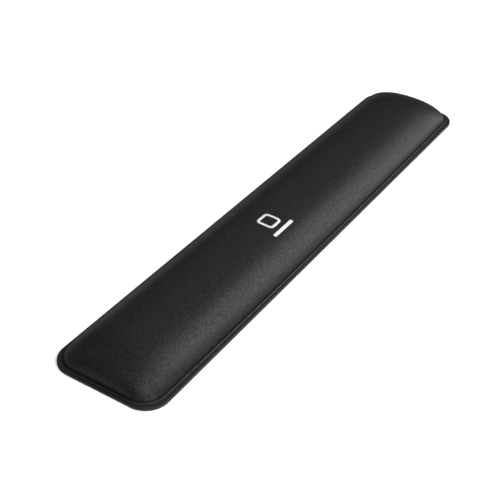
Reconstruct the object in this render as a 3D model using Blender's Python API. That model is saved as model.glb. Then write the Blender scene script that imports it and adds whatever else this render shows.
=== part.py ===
"""Keyboard wrist rest: a crowned memory-foam pad in a pressed fabric cover, on a non-slip base sheet.

Metres, +Z up. The origin is the middle of the footprint, on the desk. +X runs along the rest to the user's
right and +Y runs towards the keyboard. Nothing moves: the layers are bonded to each other, and they lie from
the desk up as base sheet, adhesive film, foam core, cover backing film, cover and print.
"""

import math
from dataclasses import dataclass, replace

import bmesh
import bpy

# Overall size: the outline on the desk, and the top of the cover's crown
LENGTH = 0.440
WIDTH = 0.080
HEIGHT = 0.020
OUTLINE_RADIUS = 0.016

# Layers
BASE_THICKNESS = 0.0017
FILM_THICKNESS = 0.00015
COVER_THICKNESS = 0.0005
BOND_GAP = 0.00015            # air left between two bonded layers
FILM_SETBACK = 0.0006         # the backing film stops this far inside the cover's edge

# The cover is pressed down flat round the pad's foot
FLANGE_WIDTH = 0.0032
PAD_RADIUS = 0.0145
FRONT_DRAW = 0.0012           # the pad's foot on the user's side is drawn in this far at the corners

# Shape of the crown: a full shoulder across the pad, and a rounded fall with a steep foot at each end
END_FALL = 0.037
SIDE_POWER = 2.29
SIDE_FULLNESS = 0.566
END_POWER = 2.17
END_FULLNESS = 0.387

# How finely the crown is divided
END_STEPS = 12
MIDDLE_STEPS = 6
ACROSS_STEPS = 20

# Printed mark: a rounded square over a short bar
MARK_X = -0.034
RING_Y = -0.0035
RING_SIZE = 0.014
RING_RADIUS = 0.0035
RING_STROKE = 0.0021
BAR_Y = -0.0155
BAR_LENGTH = 0.024
BAR_WIDTH = 0.0026
BAR_RADIUS = 0.0012
PRINT_THICKNESS = 0.00015
PRINT_LIFT = 0.00015
ARC_STEPS = 5
EDGE_STEPS = 5

FLANGE_TOP = BASE_THICKNESS + FILM_THICKNESS + 2 * BOND_GAP + COVER_THICKNESS


@dataclass(frozen=True)
class Crown:
    """A crowned sheet over a rounded rectangle; with no rise it is just that rounded rectangle."""

    half_length: float
    half_width: float
    radius: float
    fall: float
    foot: float
    top: float
    front_draw: float = 0.0

    def reach(self, x, side):
        """Distance from the middle line to the plan's edge at x, on the front (-1) or back (1) side."""
        corner = self.half_length - self.radius
        drawn_in = self.front_draw * min(1.0, abs(x) / corner) ** 2 if side < 0.0 else 0.0
        into_corner = max(0.0, abs(x) - corner)
        arc = math.sqrt(max(0.0, self.radius**2 - into_corner**2))
        return self.half_width - drawn_in - self.radius + arc

    def height(self, x, y):
        """Height of the sheet at a place on its plan."""
        across = min(1.0, abs(y) / self.reach(x, y))
        along = min(1.0, max(0.0, 1.0 - (self.half_length - abs(x)) / self.fall))
        side = (1.0 - across**SIDE_POWER) ** SIDE_FULLNESS
        end = (1.0 - along**END_POWER) ** END_FULLNESS
        return self.foot + (self.top - self.foot) * side * end

    def stations(self):
        """Places along X: even steps between the ends, and angle steps where the crown falls away."""
        shoulder = self.half_length - self.fall
        steps = range(END_STEPS + 1)
        right = [shoulder + self.fall * math.sin(0.5 * math.pi * i / END_STEPS) for i in steps]
        middle = [shoulder * (2.0 * i / MIDDLE_STEPS - 1.0) for i in range(1, MIDDLE_STEPS)]
        return [-x for x in reversed(right)] + middle + right

    def rows(self):
        """Rows of points over the plan, each running across the rest in steps of equal angle."""
        angles = [math.pi * (i / ACROSS_STEPS - 0.5) for i in range(ACROSS_STEPS + 1)]
        rows = []
        for x in self.stations():
            places = [self.reach(x, angle) * math.sin(angle) for angle in angles]
            rows.append([(x, y, self.height(x, y)) for y in places])
        return rows

    def outline(self):
        """The edge of the plan as one closed loop of points, anticlockwise from above."""
        return rim_of(self.rows())


def rim_of(rows):
    """The outermost entries of a grid of rows, in order round it."""
    front = [row[0] for row in rows]
    back = [row[-1] for row in reversed(rows)]
    return front + rows[-1][1:-1] + back + rows[0][-2:0:-1]


def pad_crown(inset, foot):
    """The pad's crown, inset evenly from the cover's outer face, standing on a foot at this height."""
    return Crown(
        half_length=LENGTH / 2 - FLANGE_WIDTH - inset,
        half_width=WIDTH / 2 - FLANGE_WIDTH - inset,
        radius=PAD_RADIUS - inset,
        fall=END_FALL - inset,
        foot=foot,
        top=HEIGHT - inset,
        front_draw=FRONT_DRAW,
    )


def flat_outline(z, inset=0.0):
    """The outline of the base sheet and of the flange, laid flat at this height."""
    return Crown(
        half_length=LENGTH / 2 - inset,
        half_width=WIDTH / 2 - inset,
        radius=OUTLINE_RADIUS - inset,
        fall=END_FALL + FLANGE_WIDTH - inset,
        foot=z,
        top=z,
    )


def add_sheet(mesh, crown):
    """Adds a crowned sheet of quads and returns its rim's points in order."""
    grid = [[mesh.verts.new(point) for point in row] for row in crown.rows()]
    for left, right in zip(grid, grid[1:]):
        for i in range(len(left) - 1):
            mesh.faces.new((left[i], right[i], right[i + 1], left[i + 1]))
    return rim_of(grid)


def add_ring(mesh, inner, ring):
    """Adds a ring of quads outwards from one loop to a wider one, and returns the wider loop."""
    outer = [mesh.verts.new(point) for point in ring.outline()]
    for i in range(len(outer)):
        mesh.faces.new((inner[i - 1], outer[i - 1], outer[i], inner[i]))
    return outer


def face_out(mesh):
    """Points a closed body's faces outwards, and an open sheet's faces upwards."""
    bmesh.ops.recalc_face_normals(mesh, faces=mesh.faces)
    mesh.normal_update()
    is_sheet = any(edge.is_boundary for edge in mesh.edges)
    upward = sum(face.normal.z * face.calc_area() for face in mesh.faces)
    if is_sheet and upward < 0.0:
        bmesh.ops.reverse_faces(mesh, faces=mesh.faces)


def finish_object(name, mesh, material, sharp_angle=math.radians(35)):
    """Turns a bmesh into a named object with outward faces, smooth shading and its material."""
    face_out(mesh)
    data = bpy.data.meshes.new(name)
    mesh.to_mesh(data)
    mesh.free()
    data.shade_smooth()
    data.set_sharp_from_angle(angle=sharp_angle)
    data.materials.append(material)
    part = bpy.data.objects.new(name, data)
    bpy.context.scene.collection.objects.link(part)
    return part


def make_material(name, color, roughness, sheen=0.0):
    """A plain material: colour, roughness and, for cloth, a soft sheen."""
    material = bpy.data.materials.new(name)
    material.use_nodes = True
    shader = material.node_tree.nodes["Principled BSDF"]
    shader.inputs["Base Color"].default_value = (*color, 1.0)
    shader.inputs["Roughness"].default_value = roughness
    shader.inputs["Metallic"].default_value = 0.0
    shader.inputs["Sheen Weight"].default_value = sheen
    return material


def thicken(part, thickness):
    """Gives a sheet its thickness, inwards and downwards from the face that shows."""
    shell = part.modifiers.new("thickness", "SOLIDIFY")
    shell.thickness = thickness
    shell.offset = -1.0
    shell.use_even_offset = True
    return part


def raise_copy(mesh, faces, thickness):
    """Extrudes flat faces straight up into a solid, keeping the faces below."""
    raised = bmesh.ops.extrude_face_region(mesh, geom=faces, use_keep_orig=True)["geom"]
    top = [item for item in raised if isinstance(item, bmesh.types.BMVert)]
    bmesh.ops.translate(mesh, verts=top, vec=(0.0, 0.0, thickness))


def make_flat_layer(name, plan, thickness, material):
    """A flat sheet with a rounded outline: its outline is filled and extruded up."""
    mesh = bmesh.new()
    bottom = mesh.faces.new([mesh.verts.new(point) for point in plan.outline()])
    raise_copy(mesh, [bottom], thickness)
    return finish_object(name, mesh, material)


def make_base():
    """Non-slip rubber sheet that lies on the desk."""
    rubber = make_material("base_rubber", (0.055, 0.055, 0.058), 0.78)
    return make_flat_layer("non_slip_base", flat_outline(0.0), BASE_THICKNESS, rubber)


def make_adhesive_film(inset):
    """Film that bonds the foam's flat underside to the base sheet."""
    glue = make_material("adhesive", (0.62, 0.58, 0.48), 0.35)
    bottom = BASE_THICKNESS + BOND_GAP
    under_foam = replace(pad_crown(inset, bottom), top=bottom)
    return make_flat_layer("base_adhesive_film", under_foam, FILM_THICKNESS, glue)


def make_foam_core(inset):
    """Crowned memory-foam pad with a flat underside."""
    foam = make_material("memory_foam", (0.32, 0.32, 0.34), 0.95)
    foot = BASE_THICKNESS + FILM_THICKNESS + 2 * BOND_GAP
    mesh = bmesh.new()
    rim = add_sheet(mesh, pad_crown(inset, foot))
    mesh.faces.new(rim)
    return finish_object("foam_core", mesh, foam)


def make_backing_film(inset):
    """Thermoplastic film on the inside of the cover, reaching out under the cover's flange."""
    film = make_material("backing_film", (0.09, 0.09, 0.09), 0.3)
    top = BASE_THICKNESS + BOND_GAP + FILM_THICKNESS
    mesh = bmesh.new()
    rim = add_sheet(mesh, pad_crown(inset, top))
    add_ring(mesh, rim, flat_outline(top, FILM_SETBACK))
    part = finish_object("cover_backing_film", mesh, film)
    return thicken(part, FILM_THICKNESS)


def make_cover():
    """Fabric cover: the crown that shows, and the flange pressed flat round its foot."""
    cloth = make_material("cover_fabric", (0.022, 0.022, 0.023), 0.85, sheen=0.3)
    mesh = bmesh.new()
    foot = add_sheet(mesh, pad_crown(0.0, FLANGE_TOP))
    add_ring(mesh, foot, flat_outline(FLANGE_TOP))
    part = finish_object("fabric_cover", mesh, cloth)
    return thicken(part, COVER_THICKNESS)


def rounded_rectangle(length, width, radius):
    """Points round a rectangle with arc corners, anticlockwise from the middle of its right side."""
    corners = [(1, 1), (-1, 1), (-1, -1), (1, -1)]
    points = []
    for quarter, (side_x, side_y) in enumerate(corners):
        centre_x = side_x * (length / 2 - radius)
        centre_y = side_y * (width / 2 - radius)
        for i in range(ARC_STEPS + 1):
            angle = 0.5 * math.pi * (quarter + i / ARC_STEPS)
            points.append((centre_x + radius * math.cos(angle), centre_y + radius * math.sin(angle), 0.0))
    return split_sides(points)


def split_sides(points):
    """Divides each straight side of a rounded rectangle, so that the print can follow the crown."""
    per_corner = ARC_STEPS + 1
    divided = []
    for i, point in enumerate(points):
        divided.append(point)
        if i % per_corner == ARC_STEPS:
            following = points[(i + 1) % len(points)]
            for step in range(1, EDGE_STEPS):
                share = step / EDGE_STEPS
                divided.append(tuple(a + (b - a) * share for a, b in zip(point, following)))
    return divided


def lay_on_crown(mesh, centre_y):
    """Moves a flat print to its place and lifts it onto the crown, a little clear of the cloth."""
    crown = pad_crown(0.0, FLANGE_TOP)
    for vert in mesh.verts:
        vert.co.x += MARK_X
        vert.co.y += centre_y
        vert.co.z += crown.height(vert.co.x, vert.co.y) + PRINT_LIFT


def make_print(name, mesh, centre_y, material):
    """Thickens a flat print, lays it on the crown and makes its object."""
    raise_copy(mesh, list(mesh.faces), PRINT_THICKNESS)
    lay_on_crown(mesh, centre_y)
    return finish_object(name, mesh, material)


def make_mark_ring(ink):
    """Rounded-square outline of white print."""
    mesh = bmesh.new()
    hole = RING_SIZE - 2 * RING_STROKE
    outer = [mesh.verts.new(point) for point in rounded_rectangle(RING_SIZE, RING_SIZE, RING_RADIUS)]
    inner = [mesh.verts.new(point) for point in rounded_rectangle(hole, hole, RING_RADIUS - RING_STROKE)]
    for i in range(len(outer)):
        mesh.faces.new((inner[i - 1], outer[i - 1], outer[i], inner[i]))
    return make_print("mark_ring", mesh, RING_Y, ink)


def make_mark_bar(ink):
    """Short bar of white print with rounded ends."""
    mesh = bmesh.new()
    outline = rounded_rectangle(BAR_LENGTH, BAR_WIDTH, BAR_RADIUS)
    mesh.faces.new([mesh.verts.new(point) for point in outline])
    return make_print("mark_bar", mesh, BAR_Y, ink)


def build():
    """Clears the scene and builds the rest from the desk up."""
    for old in list(bpy.data.objects):
        bpy.data.objects.remove(old, do_unlink=True)
    film_inset = COVER_THICKNESS + BOND_GAP
    foam_inset = film_inset + FILM_THICKNESS + BOND_GAP
    ink = make_material("white_ink", (0.86, 0.86, 0.85), 0.6)
    make_base()
    make_adhesive_film(foam_inset)
    make_foam_core(foam_inset)
    make_backing_film(film_inset)
    make_cover()
    make_mark_ring(ink)
    make_mark_bar(ink)


build()
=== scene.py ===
"""Looks of the keyboard wrist rest: cover, base, foam and print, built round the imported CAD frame.

Metres, in the frame's own axes: +X along the rest to the user's right, +Y towards the keyboard, +Z up.
The cover is one closed skin: the crown, the pressed groove round its foot, the flange and its rolled edge.
Its crown is blown up as cloth held down at the foot, as stretched fabric over foam is.
"""

import math

import bmesh
import bpy
from mathutils import Matrix, Vector


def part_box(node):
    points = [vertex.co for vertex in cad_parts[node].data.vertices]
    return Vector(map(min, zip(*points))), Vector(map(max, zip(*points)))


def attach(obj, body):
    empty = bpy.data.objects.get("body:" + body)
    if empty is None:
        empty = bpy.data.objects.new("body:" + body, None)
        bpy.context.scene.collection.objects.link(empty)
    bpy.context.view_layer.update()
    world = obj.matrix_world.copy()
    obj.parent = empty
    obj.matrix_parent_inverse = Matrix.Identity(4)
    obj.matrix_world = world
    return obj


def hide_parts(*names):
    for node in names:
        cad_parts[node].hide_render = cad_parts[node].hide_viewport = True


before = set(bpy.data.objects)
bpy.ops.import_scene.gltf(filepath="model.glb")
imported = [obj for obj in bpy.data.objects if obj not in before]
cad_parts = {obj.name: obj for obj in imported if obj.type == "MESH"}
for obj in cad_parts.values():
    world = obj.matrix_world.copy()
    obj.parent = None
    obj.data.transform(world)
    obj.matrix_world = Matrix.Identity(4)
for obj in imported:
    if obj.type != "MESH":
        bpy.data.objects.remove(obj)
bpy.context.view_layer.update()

MM = 0.001
RIGHT_ANGLE = 0.5 * math.pi

# Sizes read from the frame
BASE_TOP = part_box("non_slip_base")[1]
COVER_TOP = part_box("fabric_cover")[1]
FOAM_LOW, FOAM_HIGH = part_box("foam_core")
RING_LOW, RING_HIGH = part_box("mark_ring")
BAR_LOW, BAR_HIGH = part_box("mark_bar")
HALF_LENGTH = BASE_TOP.x
HALF_WIDTH = BASE_TOP.y

# Plan of the pad and the flange
OUTLINE_RADIUS = 16.0 * MM
PAD_RADIUS = 14.5 * MM
FLANGE_WIDTH = 3.2 * MM
FRONT_DRAW = 1.2 * MM        # the foot on the user's side is drawn in this far at the corners

# Shape of the crown: a full shoulder across the pad, and a rounded fall with a steep foot at each end
END_FALL = 37.0 * MM
SIDE_POWER = 2.29
SIDE_FULLNESS = 0.566
END_POWER = 2.17
END_FULLNESS = 0.387

# Layers
FLANGE_TOP = 2.65 * MM       # level from which the groove, the bead and the lip are measured
FLANGE_BOTTOM = 2.15 * MM
SKIN = 0.45 * MM             # thickness of the cover's cloth
FOAM_INSET = HALF_LENGTH - FLANGE_WIDTH - FOAM_HIGH.x
FOAM_CLEARANCE = 0.35 * MM   # keeps the fine foam inside the flat facets of the CAD film over it

# Fineness of the crown
END_STEPS = 18
MIDDLE_STEPS = 84
ACROSS_STEPS = 28
TIGHT_ANGLE = math.radians(2.0)  # one extra row this close to the foot keeps the groove crisp

# Cloth simulation of the crown, with gravity off, so that only the pressure lifts it
CLOTH_FRAMES = 20
CLOTH_CAP = 0.3 * MM         # no point of the crown lifts further than this
CLOTH_QUALITY = 6
CLOTH_MASS = 0.2
CLOTH_STRETCH = 25.0
CLOTH_SHEAR = 8.0
CLOTH_BEND = 1.0
PRESSURE = 12.0

# Cross-section of the flange. Each height is above the flange's top, and each distance is outward
# from the pad's foot or, nearer the edge, inward from the outline.
GROOVE_DROP = 0.35 * MM
FROM_FOOT = [
    (0.16 * MM, -0.34 * MM),   # bottom of the groove
    (0.36 * MM, -0.12 * MM),
    (0.54 * MM, 0.16 * MM),    # bead that the press tool leaves beside the groove
    (0.74 * MM, 0.27 * MM),
    (0.98 * MM, 0.19 * MM),
    (1.28 * MM, -0.07 * MM),
    (1.65 * MM, -0.20 * MM),   # lip, a little hollow
    (2.40 * MM, -0.18 * MM),
]
FROM_EDGE = [
    (0.60 * MM, -0.14 * MM),
    (0.28 * MM, -0.12 * MM),
    (0.08 * MM, -0.24 * MM),   # edge folded under, past the backing film
    (0.00 * MM, -0.42 * MM),
    (0.02 * MM, -0.62 * MM),
    (0.16 * MM, -0.74 * MM),
    (0.36 * MM, -0.72 * MM),
    (0.46 * MM, -0.58 * MM),
]
HEM_WIDTH = 0.50 * MM
FOOT_SUPPORT = 0.25 * MM     # a loop this far inside the foot holds the underside flat up to it

# Base sheet, with a grid of square dimples in its underside
BASE_EDGE = 0.1 * MM
BASE_EDGE_KNEE = 0.3         # the rounding's middle loop is this share of its width in from both faces
BASE_SHARP_ANGLE = math.radians(30.0)
TREAD_PITCH = 4.0 * MM
TREAD_TOP = 0.8              # share of a cell that its rib leaves
TREAD_FLOOR = 0.6            # share of a cell that its floor takes up
TREAD_DEPTH = 0.35 * MM
TREAD_MARGIN = 3.5 * MM

# Print
PRINT_STEP = 0.7 * MM
PRINT_LIFT = 0.05 * MM       # gap between the cloth and the ink
PRINT_THICKNESS = 0.12 * MM
PRINT_BEVEL = PRINT_THICKNESS * 0.5
PRINT_EDGE = [(0.0, 0.0), (0.0, PRINT_BEVEL), (PRINT_BEVEL, PRINT_THICKNESS)]  # (inset, height)
RING_STROKE = 2.1 * MM
RING_RADIUS = 3.5 * MM
BAR_END_FLAT = 0.02 * MM     # short straight between the two arcs of a round end
BAR_CREST = 0.3              # share of the bar's width at which its flat top starts
CORNER_STEPS = 10
RAY_START = 10.0 * MM        # the print's height is found by rays from this far above the cover

# Range that noise mostly keeps to
NOISE_LOW = 0.2
NOISE_HIGH = 0.8

# Cover cloth
KNIT_COURSE = 0.55 * MM
KNIT_WALE = 0.7 * MM
KNIT_LEAN = 1.2
KNIT_DEPTH = 0.006 * MM
MOTTLE_SIZE = 5.0 * MM
GRAIN_SIZE = 1.1 * MM
GRAIN_DEPTH = 0.05 * MM
KNIT_DARK = (0.002, 0.002, 0.002)
KNIT_MEAN = (0.006, 0.006, 0.006)
KNIT_PALE = (0.010, 0.010, 0.010)
KNIT_ROUGHNESS = (0.46, 0.54)
FLECK_GLOSS = (0.10, 0.50)
GLANCE_START = 0.5           # facing values between which the gloss fades, and what is left of it
GLANCE_END = 0.9
GLANCE_GLOSS = 0.05
PRESSED_TOP = FLANGE_TOP + 0.2 * MM  # the pressed cloth shines up to this height, then fades
PRESSED_FADE = 0.5 * MM
PRESSED_SHINE = 1.25
EDGE_TOP = FLANGE_TOP - 0.40 * MM    # below this the cut edge is dull
EDGE_FADE = 0.15 * MM
EDGE_SHINE = 0.5

# Rubber, with painted shade along the top of its side, where the seam under the cover's rolled edge is in
# shadow
SPECKLE_SIZE = 0.5 * MM
SPECKLE_DEPTH = 0.05 * MM
DUST_SIZE = 18.0 * MM
RUBBER_DARK = (0.012, 0.012, 0.013)
RUBBER_MEAN = (0.05, 0.05, 0.052)
RUBBER_PALE = (0.084, 0.084, 0.088)
RUBBER_ROUGHNESS = (0.65, 0.85)
SEAM_SHADE_START = 0.9 * MM         # painted shade darkens the side from this height up
SEAM_SHADE_FADE = 0.4 * MM
SEAM_SHADE_TONE = 0.15

# Ink, foam and bonding films
INK_PATCH_SIZE = 1.2 * MM
INK_DEPTH = 0.03 * MM
INK_DARK = (0.80, 0.80, 0.79)
INK_MEAN = (0.86, 0.86, 0.85)
INK_PALE = (0.90, 0.90, 0.89)
FOAM_CELL = 0.6 * MM
FOAM_DEPTH = 0.2 * MM
FOAM_DARK = (0.20, 0.20, 0.22)
FOAM_MEAN = (0.30, 0.30, 0.32)
FOAM_PALE = (0.40, 0.40, 0.42)
CLOUD_SIZE = 9.0 * MM
FILM_DEPTH = 0.02 * MM
FILM_ROUGHNESS = (0.28, 0.45)
FILMS = {                    # CAD node: its material's name, and its clear and clouded colours
    "base_adhesive_film": ("adhesive_film", (0.55, 0.51, 0.42), (0.68, 0.65, 0.56)),
    "cover_backing_film": ("backing_film", (0.06, 0.06, 0.06), (0.11, 0.11, 0.11)),
}

# Camera: where it looks from, its roll, how far it stands back, right and up, and its lens
VIEW_AZIMUTH = math.radians(-59.592)
VIEW_ELEVATION = math.radians(36.091)
VIEW_ROLL = math.radians(3.117)
VIEW_DISTANCE = 765.26 * MM
VIEW_SHIFT = (-26.38 * MM, -22.98 * MM)
VIEW_LENS = 74.20

# Softboxes: name, direction round from +X and height above the floor in degrees, size, watts
LIGHT_DISTANCE = 1.4
LIGHTS = [
    ("key_front_right", -41.0, 39.0, (0.8, 0.6), 6.1),
    ("key_lower_part", -50.0, 30.0, (0.8, 0.6), 3.8),
    ("key_upper_part", -30.0, 46.0, (0.8, 0.6), 3.3),
    ("low_front_right", -30.0, 10.0, (0.8, 0.3), 3.6),
    ("top_front", -100.0, 65.0, (0.8, 0.6), 3.8),
    ("top_front_left", -130.0, 52.0, (0.8, 0.6), 1.3),
    ("low_front_left", -120.0, 10.0, (0.8, 0.3), 5.0),
    ("left", 165.0, 45.0, (0.8, 0.6), 1.0),
    ("top_back", 70.0, 64.0, (0.8, 0.6), 0.8),
    ("back", 110.0, 35.0, (0.8, 0.6), 0.8),
    ("back_right", 35.0, 42.0, (0.8, 0.6), 1.1),
    ("under_floor", 60.0, -60.0, (1.0, 1.0), 12.0),
]

# A small softbox close to the near corner, whose light fades along the rest
NEAR_CORNER = (-HALF_LENGTH, -HALF_WIDTH, 0.0)
NEAR_DISTANCE = 0.30
NEAR_LIGHT = ("near_corner", -122.0, 52.0, (0.2, 0.2), 0.40)

# Backdrop and floor
WORLD_STRENGTH = 0.065
BACKDROP_STRENGTH = 1.0
FLOOR_RADIUS = 3.0
FLOOR_GAP = 0.05 * MM
FLOOR_HOLE = 1.0 * MM        # the floor stops this far inside the outline, so the underside can be seen
FLOOR_WHITE = (0.9, 0.9, 0.9)
FLOOR_LIFT = 0.40            # extra brightness that only the camera sees, so the floor stays pale
FAR_LIFT = 1.0               # the same beyond the lights' reach
LIFT_START = 0.35            # the lift changes between these distances from the rest's middle
LIFT_END = 1.2
WHITE_LIGHT = (1.0, 1.0, 1.0, 1.0)


# ---------------------------------------------------------------- plan and crown

def graded(steps):
    """Angles from -90 to 90 degrees in even steps, with a tight one beside each end."""
    even = [math.pi * (i / steps - 0.5) for i in range(steps + 1)]
    return even[:1] + [even[0] + TIGHT_ANGLE] + even[1:-1] + [even[-1] - TIGHT_ANGLE] + even[-1:]


def stations(half_length, fall):
    """Places along X: even along the middle, and angle steps where the crown falls away."""
    shoulder = half_length - fall
    ends = [RIGHT_ANGLE * i / END_STEPS for i in range(END_STEPS + 1)]
    ends.insert(-1, ends[-1] - TIGHT_ANGLE)
    right = [shoulder + fall * math.sin(angle) for angle in ends]
    middle = [shoulder * (2.0 * i / MIDDLE_STEPS - 1.0) for i in range(1, MIDDLE_STEPS)]
    return [-x for x in reversed(right)] + middle + right


def reach(x, side, half_length, half_width, radius, front_draw=0.0):
    """Distance from the middle line to the plan's edge at x, on the front (-1) or back (1) side."""
    corner = half_length - radius
    drawn_in = front_draw * min(1.0, abs(x) / corner) ** 2 if side < 0.0 else 0.0
    into_corner = max(0.0, abs(x) - corner)
    return half_width - drawn_in - radius + math.sqrt(max(0.0, radius**2 - into_corner**2))


def crown_grid(inset, foot, top):
    """Rows of points over the crown, each running across the rest from front to back."""
    half_length = HALF_LENGTH - FLANGE_WIDTH - inset
    half_width = HALF_WIDTH - FLANGE_WIDTH - inset
    fall = END_FALL - inset
    rows = []
    for x in stations(half_length, fall):
        along = min(1.0, max(0.0, 1.0 - (half_length - abs(x)) / fall))
        end = (1.0 - along**END_POWER) ** END_FULLNESS
        row = []
        for angle in graded(ACROSS_STEPS):
            across = math.sin(angle)
            edge = reach(x, across, half_length, half_width, PAD_RADIUS - inset, FRONT_DRAW)
            side = max(0.0, 1.0 - abs(across) ** SIDE_POWER) ** SIDE_FULLNESS
            row.append(Vector((x, edge * across, foot + (top - foot) * side * end)))
        rows.append(row)
    return rows


def rim_of(rows):
    """The outermost entries of a grid of rows, in order round it."""
    front = [row[0] for row in rows]
    back = [row[-1] for row in reversed(rows)]
    return front + rows[-1][1:-1] + back + rows[0][-2:0:-1]


def rim_directions(rim):
    """Outward directions in plan, one for each point of a closed loop that runs anticlockwise."""
    directions = []
    for i in range(len(rim)):
        along = rim[(i + 1) % len(rim)] - rim[i - 1]
        directions.append(Vector((along.y, -along.x, 0.0)).normalized())
    return directions


def skin_normals(rows):
    """Outward normals of a grid of points, one for each point."""
    last_row = len(rows) - 1
    last = len(rows[0]) - 1
    normals = []
    for i, row in enumerate(rows):
        line = []
        for j in range(len(row)):
            along = rows[min(i + 1, last_row)][j] - rows[max(i - 1, 0)][j]
            across = row[min(j + 1, last)] - row[max(j - 1, 0)]
            line.append(along.cross(across).normalized())
        normals.append(line)
    return normals


def outline_loop(z, inset=0.0):
    """The rest's outline at this height, with one point for each point of the pad's rim."""
    half_length = HALF_LENGTH - inset
    half_width = HALF_WIDTH - inset
    radius = OUTLINE_RADIUS - inset
    rows = []
    for x in stations(half_length, END_FALL + FLANGE_WIDTH - inset):
        edge = reach(x, 1.0, half_length, half_width, radius)
        rows.append([Vector((x, edge * math.sin(angle), z)) for angle in graded(ACROSS_STEPS)])
    return rim_of(rows)


def loop_outside(foot, outline, distance, z):
    """A loop that runs round the foot at this distance from it, towards the outline."""
    loop = []
    for inner, outer in zip(foot, outline):
        outward = Vector((outer.x - inner.x, outer.y - inner.y, 0.0)).normalized()
        loop.append(Vector((inner.x, inner.y, z)) + outward * distance)
    return loop


# ---------------------------------------------------------------- mesh helpers

def add_grid(mesh, rows):
    """Adds a grid of quads facing up and returns its verts in rows."""
    grid = [[mesh.verts.new(point) for point in row] for row in rows]
    for left, right in zip(grid, grid[1:]):
        for i in range(len(left) - 1):
            mesh.faces.new((left[i], right[i], right[i + 1], left[i + 1]))
    return grid


def add_band(mesh, inner, outer):
    """Joins two closed loops of verts with a band of quads."""
    for i in range(len(inner)):
        mesh.faces.new((inner[i - 1], outer[i - 1], outer[i], inner[i]))


def add_bands(mesh, start, loops):
    """Adds loops of points one after another, each joined to the one before; returns the last."""
    previous = start
    for loop in loops:
        verts = [mesh.verts.new(point) for point in loop]
        add_band(mesh, previous, verts)
        previous = verts
    return previous


def stitch(mesh, outer, inner):
    """Joins two nested loops with triangles, each time across the shorter of the two next gaps."""
    i = 0
    j = 0
    while i < len(outer) or j < len(inner):
        here, there = outer[i % len(outer)], inner[j % len(inner)]
        next_outer, next_inner = outer[(i + 1) % len(outer)], inner[(j + 1) % len(inner)]
        outer_gap = (next_outer.co - there.co).length
        inner_gap = (next_inner.co - here.co).length
        if j == len(inner) or (i < len(outer) and outer_gap < inner_gap):
            mesh.faces.new((here, next_outer, there))
            i += 1
        else:
            mesh.faces.new((here, next_inner, there))
            j += 1


def add_object(name, mesh):
    """Turns a bmesh into an object in the scene."""
    data = bpy.data.meshes.new(name)
    mesh.to_mesh(data)
    mesh.free()
    made = bpy.data.objects.new(name, data)
    bpy.context.scene.collection.objects.link(made)
    return made


def make_piece(name, mesh, material, levels=0):
    """Turns a closed bmesh into a smooth piece that rides on the root body."""
    bmesh.ops.recalc_face_normals(mesh, faces=mesh.faces)
    piece = add_object(name, mesh)
    piece.data.shade_smooth()
    piece.data.materials.append(material)
    if levels:
        smooth = piece.modifiers.new("smooth", "SUBSURF")
        smooth.levels = levels
        smooth.render_levels = levels
    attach(piece, "root")
    return piece


# ---------------------------------------------------------------- materials

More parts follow.
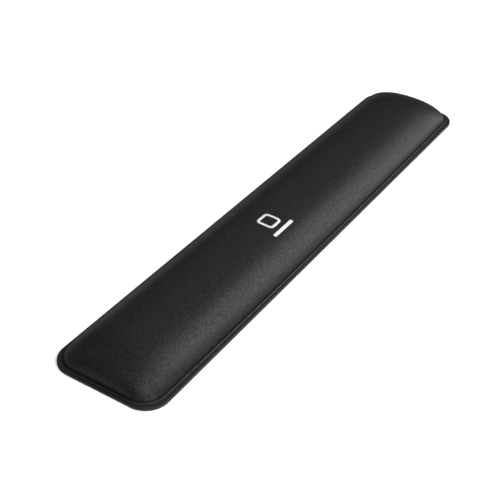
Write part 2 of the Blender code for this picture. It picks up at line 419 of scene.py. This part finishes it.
class Shader:
    """A small helper for building a node material around a Principled BSDF."""

    def __init__(self, name, color, roughness):
        self.material = bpy.data.materials.new(name)
        self.material.use_nodes = True
        self.tree = self.material.node_tree
        self.principled = self.tree.nodes["Principled BSDF"]
        self.set(Base_Color=(*color, 1.0), Roughness=roughness)
        self.place = self.node("ShaderNodeTexCoord").outputs["Object"]

    def set(self, **inputs):
        """Sets or links inputs of the Principled BSDF, with _ for a space in their names."""
        for key, value in inputs.items():
            self.give(self.principled, key.replace("_", " "), value)

    def node(self, kind, **settings):
        """Adds a node. Plain names set its properties, and names of sockets set or link its inputs."""
        made = self.tree.nodes.new(kind)
        for key, value in settings.items():
            self.give(made, key, value)
        return made

    def give(self, made, key, value):
        """Sets a property, or an input by name or number; a socket as the value makes a link."""
        if isinstance(key, str) and hasattr(made, key):
            setattr(made, key, value)
            return
        socket = made.inputs[key]
        if isinstance(value, bpy.types.NodeSocket):
            self.tree.links.new(value, socket)
        else:
            socket.default_value = value

    def math(self, operation, first, second=0.0):
        """A math node on two values or sockets."""
        made = self.node("ShaderNodeMath", operation=operation)
        self.give(made, 0, first)
        self.give(made, 1, second)
        return made.outputs[0]

    def noise(self, size, detail):
        """Noise whose features are about this size in metres, from 0 to 1."""
        made = self.node("ShaderNodeTexNoise", Vector=self.place, Scale=1.0 / size, Detail=detail)
        return made.outputs["Fac"]

    def between(self, value, start, end, low, high):
        """Runs from low to high as the value goes from start to end, and stays there beyond."""
        made = self.node("ShaderNodeMapRange", Value=value)
        for key, number in (("From Min", start), ("From Max", end), ("To Min", low), ("To Max", high)):
            self.give(made, key, number)
        return made.outputs["Result"]

    def ramp(self, factor, low, high):
        """Rescales a 0 to 1 factor to run from low to high."""
        return self.between(factor, 0.0, 1.0, low, high)

    def spread(self, factor):
        """Stretches noise, which mostly keeps near 0.5, over the whole range from 0 to 1."""
        return self.between(factor, NOISE_LOW, NOISE_HIGH, 0.0, 1.0)

    def height(self):
        """Height above the desk, for a piece whose own axes are the frame's."""
        return self.node("ShaderNodeSeparateXYZ", Vector=self.place).outputs["Z"]

    def mix(self, factor, first, second):
        """Mixes two colours by a factor."""
        made = self.node("ShaderNodeMix", data_type="RGBA", Factor=factor)
        self.give(made, "A", (*first, 1.0))
        self.give(made, "B", (*second, 1.0))
        return made.outputs["Result"]

    def bump(self, height, distance, normal=None):
        """A bump of this depth in metres, over another if one is given; returns its normal."""
        made = self.node("ShaderNodeBump", Distance=distance, Height=height)
        if normal:
            self.give(made, "Normal", normal)
        return made.outputs["Normal"]

    def knit(self):
        """Height of a fine plain knit: columns of small loops, each leaning in turn."""
        split = self.node("ShaderNodeSeparateXYZ", Vector=self.place)
        across = self.math("MULTIPLY", split.outputs["X"], math.tau / KNIT_WALE)
        along = self.math("MULTIPLY", split.outputs["Y"], math.tau / KNIT_COURSE)
        lean = self.math("MULTIPLY", self.math("SINE", across), KNIT_LEAN)
        loops = self.math("SINE", self.math("ADD", along, lean))
        columns = self.math("ABSOLUTE", self.math("COSINE", self.math("MULTIPLY", across, 0.5)))
        return self.math("MULTIPLY", self.math("ADD", loops, 1.0), columns)


def cover_material():
    """Black fine-knit cloth: loops, faint mottling where it stretched, and a soft satin sheen."""
    shader = Shader("cover_cloth", KNIT_MEAN, roughness=0.5)
    mottle = shader.noise(MOTTLE_SIZE, detail=3.0)
    grain = shader.noise(GRAIN_SIZE, detail=4.0)
    fleck = shader.spread(grain)
    shader.set(Base_Color=shader.mix(fleck, KNIT_DARK, KNIT_PALE))
    shader.set(Roughness=shader.ramp(mottle, *KNIT_ROUGHNESS))
    shader.set(Specular_IOR_Level=cloth_gloss(shader, fleck))
    loops = shader.bump(shader.knit(), KNIT_DEPTH)
    shader.set(Normal=shader.bump(grain, GRAIN_DEPTH, loops))
    return shader.material


def cloth_gloss(shader, fleck):
    """Gloss that varies with the flecks, and fades at glancing angles as it does between fibres."""
    facing = shader.node("ShaderNodeLayerWeight", Blend=0.5).outputs["Facing"]
    fade = shader.between(facing, GLANCE_START, GLANCE_END, 1.0, GLANCE_GLOSS)
    gloss = shader.math("MULTIPLY", shader.ramp(fleck, *FLECK_GLOSS), fade)
    return shader.math("MULTIPLY", gloss, pressed_shine(shader))


def pressed_shine(shader):
    """How the press changes the gloss: dull on the cut edge, higher on the flange, plain on the pad."""
    height = shader.height()
    edge = shader.between(height, EDGE_TOP, EDGE_TOP + EDGE_FADE, EDGE_SHINE, 1.0)
    flange = shader.between(height, PRESSED_TOP, PRESSED_TOP + PRESSED_FADE, PRESSED_SHINE, 1.0)
    return shader.math("MULTIPLY", edge, flange)


def rubber_material():
    """Dark grey foamed rubber: fine pits and speckle, a little dusty, with painted shade along the top of its
    side for the shadowed seam under the cover.
    """
    shader = Shader("base_rubber_sheet", RUBBER_MEAN, roughness=0.75)
    speckle = shader.noise(SPECKLE_SIZE, detail=3.0)
    dust = shader.noise(DUST_SIZE, detail=2.0)
    tone = shader.math("ADD", shader.math("MULTIPLY", speckle, 0.5), shader.math("MULTIPLY", dust, 0.5))
    # painted shade: the top of the side is coloured darker where the seam under the cover's edge lies in
    # shadow
    seam_shade = shader.between(shader.height(), SEAM_SHADE_START, SEAM_SHADE_START + SEAM_SHADE_FADE, 1.0, SEAM_SHADE_TONE)
    tone = shader.math("MULTIPLY", tone, seam_shade)
    shader.set(Base_Color=shader.mix(tone, RUBBER_DARK, RUBBER_PALE))
    shader.set(Roughness=shader.ramp(speckle, *RUBBER_ROUGHNESS))
    shader.set(Normal=shader.bump(speckle, SPECKLE_DEPTH))
    return shader.material


def ink_material():
    """White screen print, slightly uneven where the knit shows through it."""
    shader = Shader("white_print", INK_MEAN, roughness=0.55)
    patch = shader.noise(INK_PATCH_SIZE, detail=3.0)
    shader.set(Base_Color=shader.mix(patch, INK_DARK, INK_PALE))
    shader.set(Normal=shader.bump(shader.knit(), INK_DEPTH))
    return shader.material


def foam_material():
    """Grey open-cell memory foam."""
    shader = Shader("memory_foam_cells", FOAM_MEAN, roughness=0.95)
    cells = shader.node("ShaderNodeTexVoronoi", Vector=shader.place, Scale=1.0 / FOAM_CELL)
    pores = cells.outputs["Distance"]
    shader.set(Base_Color=shader.mix(pores, FOAM_DARK, FOAM_PALE))
    shader.set(Normal=shader.bump(pores, FOAM_DEPTH))
    return shader.material


def film_material(name, clear, clouded):
    """Thin bonding film: slightly clouded, with a satin skin."""
    shader = Shader(name, clear, roughness=0.35)
    cloud = shader.noise(CLOUD_SIZE, detail=3.0)
    shader.set(Base_Color=shader.mix(cloud, clear, clouded))
    shader.set(Roughness=shader.ramp(cloud, *FILM_ROUGHNESS))
    shader.set(Normal=shader.bump(cloud, FILM_DEPTH))
    return shader.material


# ---------------------------------------------------------------- the cover

def cloth_body(rows):
    """A closed body for the cloth: the crown above, and a flat underside held still with the foot."""
    mesh = bmesh.new()
    top = add_grid(mesh, rows)
    rim = set(rim_of(top))
    below = []
    for row in top:
        below.append([v if v in rim else mesh.verts.new((v.co.x, v.co.y, rows[0][0].z)) for v in row])
    for left, right in zip(below, below[1:]):
        for i in range(len(left) - 1):
            corners = (left[i], left[i + 1], right[i + 1], right[i])
            if not all(corner in rim for corner in corners):
                mesh.faces.new(corners)
    free = {v for row in top for v in row} - rim
    mesh.verts.index_update()
    order = [[v.index for v in row] for row in top]
    held = [v.index for v in mesh.verts if v not in free]
    body = add_object("cloth_body", mesh)
    body.vertex_groups.new(name="held").add(held, 1.0, "REPLACE")
    return body, order


def add_cloth(body):
    """Makes the body a cloth under pressure, with no gravity and its held verts pinned."""
    cloth = body.modifiers.new("cloth", "CLOTH")
    cloth.settings.quality = CLOTH_QUALITY
    cloth.settings.mass = CLOTH_MASS
    cloth.settings.tension_stiffness = CLOTH_STRETCH
    cloth.settings.compression_stiffness = CLOTH_STRETCH
    cloth.settings.shear_stiffness = CLOTH_SHEAR
    cloth.settings.bending_stiffness = CLOTH_BEND
    cloth.settings.use_pressure = True
    cloth.settings.uniform_pressure_force = PRESSURE
    cloth.settings.vertex_group_mass = "held"
    cloth.settings.effector_weights.gravity = 0.0
    cloth.point_cache.frame_end = CLOTH_FRAMES


def inflate(rows):
    """Blows the crown up as cloth held down at its foot, and returns its new points in rows."""
    body, order = cloth_body(rows)
    add_cloth(body)
    scene = bpy.context.scene
    for step in range(1, CLOTH_FRAMES + 1):
        scene.frame_set(step)
    blown = body.evaluated_get(bpy.context.evaluated_depsgraph_get()).to_mesh()
    points = [vert.co.copy() for vert in blown.vertices]
    scene.frame_set(1)
    data = body.data
    bpy.data.objects.remove(body)
    bpy.data.meshes.remove(data)
    result = []
    for row, indices, normals in zip(rows, order, skin_normals(rows)):
        blown_row = [points[i] for i in indices]
        result.append([lifted(*place) for place in zip(row, blown_row, normals)])
    return result


def lifted(start, end, normal):
    """The start moved out as far as the cloth has lifted there, up to the cap, and never in."""
    return start + normal * min(CLOTH_CAP, max(0.0, (end - start).dot(normal)))


def inner_skin(rows):
    """The cover's inner face: every free point moved in by the cloth's thickness."""
    rim = rim_of(rows)
    outward = {id(point): direction for point, direction in zip(rim, rim_directions(rim))}
    inner = []
    for row, normals in zip(rows, skin_normals(rows)):
        moved = []
        for point, normal in zip(row, normals):
            if id(point) in outward:
                place = point - outward[id(point)] * SKIN
                moved.append(Vector((place.x, place.y, FLANGE_BOTTOM)))
            else:
                place = point - normal * SKIN
                moved.append(Vector((place.x, place.y, max(place.z, FLANGE_BOTTOM))))
        inner.append(moved)
    return inner


def crown_rows():
    foot_z = FLANGE_TOP - GROOVE_DROP
    return inflate(crown_grid(0.0, foot_z, COVER_TOP.z - CLOTH_CAP))


def make_cover():
    """The fabric cover as one closed skin: crown, groove, flange, rolled edge and inner face."""
    rows = crown_rows()
    foot = rim_of(rows)
    outline = outline_loop(FLANGE_TOP)
    loops = [loop_outside(foot, outline, distance, FLANGE_TOP + rise) for distance, rise in FROM_FOOT]
    loops += [outline_loop(FLANGE_TOP + rise, inset) for inset, rise in FROM_EDGE]
    loops.append(outline_loop(FLANGE_BOTTOM, HEM_WIDTH))
    loops.append(loop_outside(foot, outline, -FOOT_SUPPORT, FLANGE_BOTTOM))
    mesh = bmesh.new()
    crown = add_grid(mesh, rows)
    last = add_bands(mesh, rim_of(crown), loops)
    inner = add_grid(mesh, inner_skin(rows))
    add_band(mesh, last, rim_of(inner))
    cover = make_piece("fabric_cover_skin", mesh, cover_material(), levels=1)
    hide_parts("fabric_cover")
    return cover


# ---------------------------------------------------------------- foam and base

def make_foam():
    """The memory-foam pad inside the cover, with its flat underside."""
    mesh = bmesh.new()
    rows = crown_grid(FOAM_INSET + FOAM_CLEARANCE, FOAM_LOW.z, FOAM_HIGH.z - FOAM_CLEARANCE)
    mesh.faces.new(rim_of(add_grid(mesh, rows)))
    foam = make_piece("foam_core_pad", mesh, foam_material())
    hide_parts("foam_core")


def tread_rows():
    """Lines of the tread's grid: square cells along the middle, drawn in a little round the corners."""
    half_length = HALF_LENGTH - TREAD_MARGIN
    half_width = HALF_WIDTH - TREAD_MARGIN
    columns = round(2 * half_length / TREAD_PITCH)
    cells_across = round(2 * half_width / TREAD_PITCH)
    rows = []
    for i in range(columns + 1):
        x = half_length * (2 * i / columns - 1)
        edge = reach(x, 1.0, half_length, half_width, OUTLINE_RADIUS - TREAD_MARGIN)
        rows.append([Vector((x, edge * (2 * j / cells_across - 1), 0.0)) for j in range(cells_across + 1)])
    return rows


def add_dimple(mesh, corners):
    """Fills one cell of the tread: half a rib all round it, sloping walls, and a floor pressed in."""
    middle = sum((corner.co for corner in corners), Vector()) / len(corners)
    previous = corners
    for share, depth in ((TREAD_TOP, 0.0), (TREAD_FLOOR, TREAD_DEPTH)):
        lift = Vector((0.0, 0.0, depth))
        loop = [mesh.verts.new(middle.lerp(corner.co, share) + lift) for corner in corners]
        add_band(mesh, previous, loop)
        previous = loop
    mesh.faces.new(previous)


def add_tread(mesh):
    """Adds the underside's grid of square dimples, and returns the verts round it in order."""
    grid = [[mesh.verts.new(point) for point in row] for row in tread_rows()]
    for left, right in zip(grid, grid[1:]):
        for j in range(len(left) - 1):
            add_dimple(mesh, (left[j], right[j], right[j + 1], left[j + 1]))
    return rim_of(grid)


def make_base():
    """The non-slip sheet: a plain side, softened edges and a dimpled underside."""
    mesh = bmesh.new()
    tread_rim = add_tread(mesh)
    underside = [mesh.verts.new(point) for point in outline_loop(0.0, BASE_EDGE)]
    stitch(mesh, underside, tread_rim)
    knee = BASE_EDGE * BASE_EDGE_KNEE
    side = [
        outline_loop(knee, knee),
        outline_loop(BASE_EDGE),
        outline_loop(BASE_TOP.z - BASE_EDGE),
        outline_loop(BASE_TOP.z - knee, knee),
        outline_loop(BASE_TOP.z, BASE_EDGE),
    ]
    mesh.faces.new(add_bands(mesh, underside, side))
    base = make_piece("non_slip_sheet", mesh, rubber_material())
    base.data.set_sharp_from_angle(angle=BASE_SHARP_ANGLE)
    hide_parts("non_slip_base")


# ---------------------------------------------------------------- print

def rounded_rectangle(centre, length, width, radius):
    """Points round a rectangle with arc corners, its sides divided into short steps."""
    arcs = []
    for quarter, (side_x, side_y) in enumerate([(1, 1), (-1, 1), (-1, -1), (1, -1)]):
        middle = Vector((centre.x + side_x * (length / 2 - radius), centre.y + side_y * (width / 2 - radius)))
        angles = [RIGHT_ANGLE * (quarter + i / CORNER_STEPS) for i in range(CORNER_STEPS + 1)]
        arcs.append([middle + radius * Vector((math.cos(angle), math.sin(angle))) for angle in angles])
    points = []
    for arc, following in zip(arcs, arcs[1:] + arcs[:1]):
        start, end = arc[-1], following[0]
        steps = max(2, round((end - start).length / PRINT_STEP))
        points += arc + [start.lerp(end, step / steps) for step in range(1, steps)]
    return points


def resample(points, count):
    """Spreads this many points evenly round a closed loop."""
    lengths = [(points[(i + 1) % len(points)] - point).length for i, point in enumerate(points)]
    total = sum(lengths)
    result = []
    passed = 0.0
    i = 0
    for step in range(count):
        target = total * step / count
        while passed + lengths[i] < target:
            passed += lengths[i]
            i += 1
        result.append(points[i].lerp(points[(i + 1) % len(points)], (target - passed) / lengths[i]))
    return result


def surface_finder(cover):
    """A function that gives the height of the cover's crown at a place on its plan."""
    evaluated = cover.evaluated_get(bpy.context.evaluated_depsgraph_get())

    def height(point):
        start = Vector((point.x, point.y, COVER_TOP.z + RAY_START))
        hit, place, _, _ = evaluated.ray_cast(start, Vector((0.0, 0.0, -1.0)))
        return place.z if hit else COVER_TOP.z

    return height


def at_height(point, height, lift):
    """A point of the print, lifted above the crown and the thin gap under the ink."""
    return Vector((point.x, point.y, height(point) + PRINT_LIFT + lift))


def band_loop(near, far, inset, lift, height):
    """A loop this far in from one edge of a printed band, towards its other edge."""
    loop = []
    for here, there in zip(near, far):
        loop.append(at_height(here.lerp(there, inset / (here - there).length), height, lift))
    return loop


def make_ring(cover, ink):
    """The printed rounded square: a flat band with a bevel along both of its edges."""
    centre = (RING_LOW + RING_HIGH) / 2
    size = RING_HIGH.x - RING_LOW.x
    hole = size - 2 * RING_STROKE
    height = surface_finder(cover)
    outer = rounded_rectangle(centre, size, size, RING_RADIUS)
    inner = rounded_rectangle(centre, hole, hole, RING_RADIUS - RING_STROKE)
    count = max(len(outer), len(inner))
    outer, inner = resample(outer, count), resample(inner, count)
    loops = [band_loop(outer, inner, inset, lift, height) for inset, lift in PRINT_EDGE]
    loops.append([at_height(a.lerp(b, 0.5), height, PRINT_THICKNESS) for a, b in zip(outer, inner)])
    loops += [band_loop(inner, outer, inset, lift, height) for inset, lift in reversed(PRINT_EDGE)]
    mesh = bmesh.new()
    first = [mesh.verts.new(point) for point in loops[0]]
    last = add_bands(mesh, first, loops[1:])
    add_band(mesh, last, first)
    ring = make_piece("print_ring", mesh, ink)
    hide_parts("mark_ring")


def make_bar(cover, ink):
    """The printed bar, with round ends, a bevel round its edge and a flat top."""
    centre = (BAR_LOW + BAR_HIGH) / 2
    length = BAR_HIGH.x - BAR_LOW.x
    width = BAR_HIGH.y - BAR_LOW.y
    spine = (length - width) / 2
    height = surface_finder(cover)
    outer = rounded_rectangle(centre, length, width, (width - BAR_END_FLAT) / 2)
    loops = []
    for inset, lift in PRINT_EDGE + [(width * BAR_CREST, PRINT_THICKNESS)]:
        loop = []
        for point in outer:
            nearest = Vector((min(max(point.x, centre.x - spine), centre.x + spine), centre.y))
            loop.append(at_height(point.lerp(nearest, inset / (width / 2)), height, lift))
        loops.append(loop)
    mesh = bmesh.new()
    first = [mesh.verts.new(point) for point in loops[0]]
    last = add_bands(mesh, first, loops[1:])
    mesh.faces.new(first)
    mesh.faces.new(last)
    bar = make_piece("print_bar", mesh, ink)
    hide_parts("mark_bar")


def finish_cad_films():
    """Gives the CAD films that stay in place their own materials."""
    for node, finish in FILMS.items():
        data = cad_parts[node].data
        data.materials.clear()
        data.materials.append(film_material(*finish))


# ---------------------------------------------------------------- stage, light and camera

def make_camera():
    """A camera on the user's left, looking down along the rest, with a slight roll."""
    back = Vector((
        math.sin(VIEW_AZIMUTH) * math.cos(VIEW_ELEVATION),
        -math.cos(VIEW_AZIMUTH) * math.cos(VIEW_ELEVATION),
        math.sin(VIEW_ELEVATION),
    ))
    level = Vector((math.cos(VIEW_AZIMUTH), math.sin(VIEW_AZIMUTH), 0.0))
    right = math.cos(VIEW_ROLL) * level + math.sin(VIEW_ROLL) * back.cross(level)
    up = back.cross(right)
    data = bpy.data.cameras.new("camera")
    data.lens = VIEW_LENS
    camera = bpy.data.objects.new("camera", data)
    axes = Matrix((right, up, back)).transposed()
    place = back * VIEW_DISTANCE + right * VIEW_SHIFT[0] + up * VIEW_SHIFT[1]
    camera.matrix_world = Matrix.Translation(place) @ axes.to_4x4()
    bpy.context.scene.collection.objects.link(camera)
    bpy.context.scene.camera = camera


def make_light(name, azimuth, elevation, size, power, distance=LIGHT_DISTANCE, aim=(0.0, 0.0, 0.0)):
    """A soft rectangular light that looks at its aim from this direction."""
    data = bpy.data.lights.new(name, "AREA")
    data.shape = "RECTANGLE"
    data.size, data.size_y = size
    data.energy = power
    light = bpy.data.objects.new(name, data)
    light.visible_camera = False
    around, above = math.radians(azimuth), math.radians(elevation)
    flat = math.cos(above)
    towards = Vector((flat * math.cos(around), flat * math.sin(around), math.sin(above)))
    light.location = Vector(aim) + towards * distance
    light.rotation_mode = "QUATERNION"
    light.rotation_quaternion = towards.to_track_quat("Z", "Y")
    bpy.context.scene.collection.objects.link(light)


def floor_material():
    """A plain white floor, brightened for the camera alone, and clear when the camera is below it."""
    shader = Shader("floor_white", FLOOR_WHITE, roughness=0.9)
    camera_ray = shader.node("ShaderNodeLightPath").outputs["Is Camera Ray"]
    distance = shader.node("ShaderNodeVectorMath", operation="LENGTH")
    shader.give(distance, 0, shader.place)
    lift = shader.between(distance.outputs["Value"], LIFT_START, LIFT_END, FLOOR_LIFT, FAR_LIFT)
    shader.set(Emission_Color=WHITE_LIGHT, Specular_IOR_Level=0.0)
    shader.set(Emission_Strength=shader.math("MULTIPLY", camera_ray, lift))
    from_below = shader.node("ShaderNodeNewGeometry").outputs["Backfacing"]
    mixed = shader.node("ShaderNodeMixShader", Fac=shader.math("MULTIPLY", camera_ray, from_below))
    shader.give(mixed, 1, shader.principled.outputs["BSDF"])
    shader.give(mixed, 2, shader.node("ShaderNodeBsdfTransparent").outputs["BSDF"])
    shader.give(shader.tree.nodes["Material Output"], "Surface", mixed.outputs["Shader"])
    return shader.material


def make_floor():
    """A round plain floor, open under the rest itself."""
    mesh = bmesh.new()
    hole = outline_loop(0.0, FLOOR_HOLE)
    inner = [mesh.verts.new(point) for point in hole]
    add_bands(mesh, inner, [[point.normalized() * FLOOR_RADIUS for point in hole]])
    floor = add_object("floor", mesh)
    floor.location.z = -FLOOR_GAP
    floor.data.materials.append(floor_material())


def make_world():
    """Even dim light from all round, which only the camera sees as a pale backdrop."""
    world = bpy.data.worlds.new("studio")
    world.use_nodes = True
    tree = world.node_tree
    background = tree.nodes["Background"]
    background.inputs["Color"].default_value = WHITE_LIGHT
    path = tree.nodes.new("ShaderNodeLightPath")
    strength = tree.nodes.new("ShaderNodeMapRange")
    strength.inputs["To Min"].default_value = WORLD_STRENGTH
    strength.inputs["To Max"].default_value = BACKDROP_STRENGTH
    tree.links.new(path.outputs["Is Camera Ray"], strength.inputs["Value"])
    tree.links.new(strength.outputs["Result"], background.inputs["Strength"])
    bpy.context.scene.world = world


def build():
    """Builds every piece and the stage."""
    cover = make_cover()
    make_foam()
    make_base()
    ink = ink_material()
    make_ring(cover, ink)
    make_bar(cover, ink)
    finish_cad_films()
    make_floor()
    make_world()
    for light in LIGHTS:
        make_light(*light)
    make_light(*NEAR_LIGHT, NEAR_DISTANCE, NEAR_CORNER)
    make_camera()
    bpy.context.scene.view_settings.view_transform = "Standard"


build()
